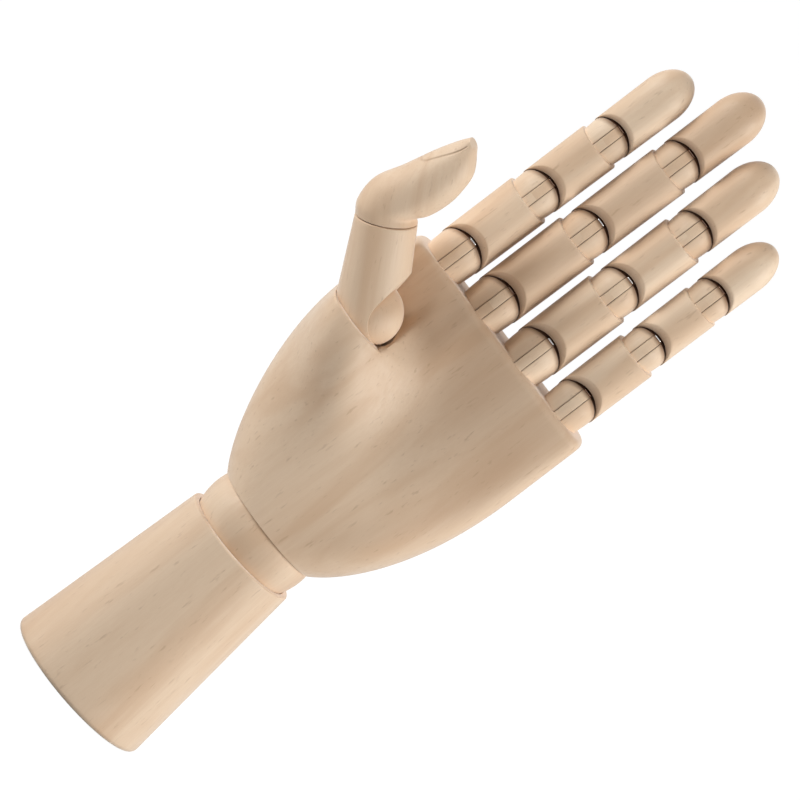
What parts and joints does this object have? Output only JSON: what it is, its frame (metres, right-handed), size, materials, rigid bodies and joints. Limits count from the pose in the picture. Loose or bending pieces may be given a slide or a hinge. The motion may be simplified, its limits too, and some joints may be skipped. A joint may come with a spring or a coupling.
{
  "type": "articulated wooden hand",
  "caption": "Left wooden hand standing on a tapered forearm, with ball joints in fingers, thumb and wrist that hold a pose, for showing gloves or for drawing.",
  "frame": {"origin": "centre of the flat end of the forearm, on the surface that the hand stands on", "axes": "+Z from the forearm to the fingertips, -Y out of the palm, -X towards the thumb"},
  "size_m": [0.0932, 0.0561, 0.2535],
  "materials": {
    "wood": "satin, fine pale grain",
    "inner_wood": "plain sawn, unpolished",
    "steel": "plain drawn rod"
  },
  "bodies": {
    "forearm": {"forearm": "wood"},
    "wrist_ball": {"wrist_ball": "wood", "wrist_pin": "steel"},
    "palm": {"palm": "wood", "wrist_tongue": "inner_wood", "thumb_tongue": "inner_wood", "index_knuckle_ball": "wood", "index_knuckle_pin": "steel", "middle_knuckle_ball": "wood", "middle_knuckle_pin": "steel", "ring_knuckle_ball": "wood", "ring_knuckle_pin": "steel", "little_knuckle_ball": "wood", "little_knuckle_pin": "steel"},
    "index_base": {"index_base_link": "wood", "index_knuckle_tongue": "inner_wood", "index_mid_ball": "wood", "index_mid_pin": "steel"},
    "index_middle": {"index_mid_link": "wood", "index_mid_tongue": "inner_wood", "index_end_ball": "wood", "index_end_pin": "steel"},
    "index_end": {"index_tip": "wood", "index_end_tongue": "inner_wood"},
    "middle_base": {"middle_base_link": "wood", "middle_knuckle_tongue": "inner_wood", "middle_mid_ball": "wood", "middle_mid_pin": "steel"},
    "middle_middle": {"middle_mid_link": "wood", "middle_mid_tongue": "inner_wood", "middle_end_ball": "wood", "middle_end_pin": "steel"},
    "middle_end": {"middle_tip": "wood", "middle_end_tongue": "inner_wood"},
    "ring_base": {"ring_base_link": "wood", "ring_knuckle_tongue": "inner_wood", "ring_mid_ball": "wood", "ring_mid_pin": "steel"},
    "ring_middle": {"ring_mid_link": "wood", "ring_mid_tongue": "inner_wood", "ring_end_ball": "wood", "ring_end_pin": "steel"},
    "ring_end": {"ring_tip": "wood", "ring_end_tongue": "inner_wood"},
    "little_base": {"little_base_link": "wood", "little_knuckle_tongue": "inner_wood", "little_mid_ball": "wood", "little_mid_pin": "steel"},
    "little_middle": {"little_mid_link": "wood", "little_mid_tongue": "inner_wood", "little_end_ball": "wood", "little_end_pin": "steel"},
    "little_end": {"little_tip": "wood", "little_end_tongue": "inner_wood"},
    "thumb_base": {"thumb_base_link": "wood", "thumb_ball": "wood", "thumb_pin": "steel", "thumb_dowel": "inner_wood"},
    "thumb_end": {"thumb_tip": "wood"}
  },
  "joints": [
    {"name": "wrist_turn", "type": "hinge", "parent": "forearm", "child": "wrist_ball", "pos_m": [0, 0, 0.0677], "axis": [0, 0, 1], "continuous": true},
    {"name": "wrist_tilt", "type": "hinge", "parent": "wrist_ball", "child": "palm", "pos_m": [0, 0, 0.0677], "axis": [0.9986, 0, -0.0523], "range_deg": [-25, 25]},
    {"name": "index_knuckle_bend", "type": "hinge", "parent": "palm", "child": "index_base", "pos_m": [-0.02252, 0, 0.16151], "axis": [0.9982, 0, -0.0593], "range_deg": [0, 70]},
    {"name": "index_mid_bend", "type": "hinge", "parent": "index_base", "child": "index_middle", "pos_m": [-0.02087, 0, 0.18936], "axis": [0.9982, 0, -0.0593], "range_deg": [0, 70]},
    {"name": "index_end_bend", "type": "hinge", "parent": "index_middle", "child": "index_end", "pos_m": [-0.0194, 0, 0.21411], "axis": [0.9982, 0, -0.0593], "range_deg": [0, 50]},
    {"name": "middle_knuckle_bend", "type": "hinge", "parent": "palm", "child": "middle_base", "pos_m": [-0.00564, 0, 0.16062], "axis": [0.9982, 0, -0.0593], "range_deg": [0, 70]},
    {"name": "middle_mid_bend", "type": "hinge", "parent": "middle_base", "child": "middle_middle", "pos_m": [-0.00376, 0, 0.19237], "axis": [0.9982, 0, -0.0593], "range_deg": [0, 70]},
    {"name": "middle_end_bend", "type": "hinge", "parent": "middle_middle", "child": "middle_end", "pos_m": [-0.00185, 0, 0.22451], "axis": [0.9982, 0, -0.0593], "range_deg": [0, 50]},
    {"name": "ring_knuckle_bend", "type": "hinge", "parent": "palm", "child": "ring_base", "pos_m": [0.01223, 0, 0.15969], "axis": [0.9986, 0, -0.0523], "range_deg": [0, 70]},
    {"name": "ring_mid_bend", "type": "hinge", "parent": "ring_base", "child": "ring_middle", "pos_m": [0.01372, 0, 0.18805], "axis": [0.9986, 0, -0.0523], "range_deg": [0, 70]},
    {"name": "ring_end_bend", "type": "hinge", "parent": "ring_middle", "child": "ring_end", "pos_m": [0.01511, 0, 0.21471], "axis": [0.9986, 0, -0.0523], "range_deg": [0, 50]},
    {"name": "little_knuckle_bend", "type": "hinge", "parent": "palm", "child": "little_base", "pos_m": [0.02961, 0, 0.15877], "axis": [0.9986, 0, -0.0523], "range_deg": [0, 70]},
    {"name": "little_mid_bend", "type": "hinge", "parent": "little_base", "child": "little_middle", "pos_m": [0.03093, 0, 0.18404], "axis": [0.9986, 0, -0.0523], "range_deg": [0, 70]},
    {"name": "little_end_bend", "type": "hinge", "parent": "little_middle", "child": "little_end", "pos_m": [0.03212, 0, 0.20671], "axis": [0.9986, 0, -0.0523], "range_deg": [0, 50]},
    {"name": "thumb_swing", "type": "hinge", "parent": "palm", "child": "thumb_base", "pos_m": [-0.02603, -0.016, 0.13475], "axis": [-0.0109, -0.9781, -0.2076], "range_deg": [-45, 0]},
    {"name": "thumb_tip_turn", "type": "hinge", "parent": "thumb_base", "child": "thumb_end", "pos_m": [-0.02603, -0.016, 0.13475], "axis": [-0.6027, -0.1593, 0.7819], "range_deg": [-30, 30]}
  ]
}
